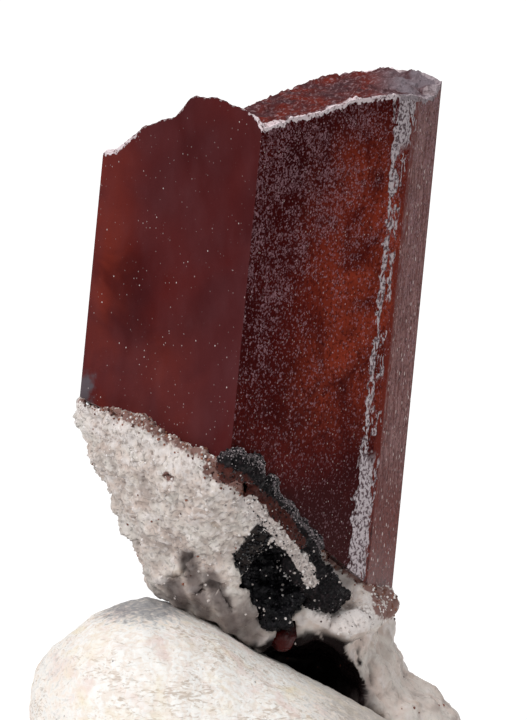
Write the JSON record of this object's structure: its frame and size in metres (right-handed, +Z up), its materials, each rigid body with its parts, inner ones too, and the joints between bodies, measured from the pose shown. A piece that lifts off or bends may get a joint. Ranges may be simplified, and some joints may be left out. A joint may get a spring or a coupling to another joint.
{
  "type": "crystal cluster specimen",
  "caption": "Dark red leaning topaz prism with a broken top, rooted in pale rhyolite with black mineral along its foot, propped on a rounded cream stone.",
  "frame": {"origin": "middle of the bounding box's underside, on the ground", "axes": "+Z up, +X to the right as the crystal leans, -Y towards the viewer who sees its front edge"},
  "size_m": [0.0378, 0.0316, 0.0614],
  "materials": {
    "topaz": "glassy crystal face over dark red, sand-filled, almost opaque topaz",
    "small_topaz": "glassy, dark red, a little translucent",
    "rhyolite": "rough, sugary, pale grey to pinkish white",
    "black_mineral": "granular, sparkling, bluish black",
    "cream_stone": "smooth, matt, cream white with pink and yellow tints"
  },
  "bodies": {
    "root": {"topaz_crystal": "topaz", "small_topaz": "small_topaz", "rhyolite_matrix": "rhyolite", "black_mineral_crust": "black_mineral", "black_mineral_pocket": "black_mineral", "support_stone": "cream_stone"}
  },
  "joints": []
}
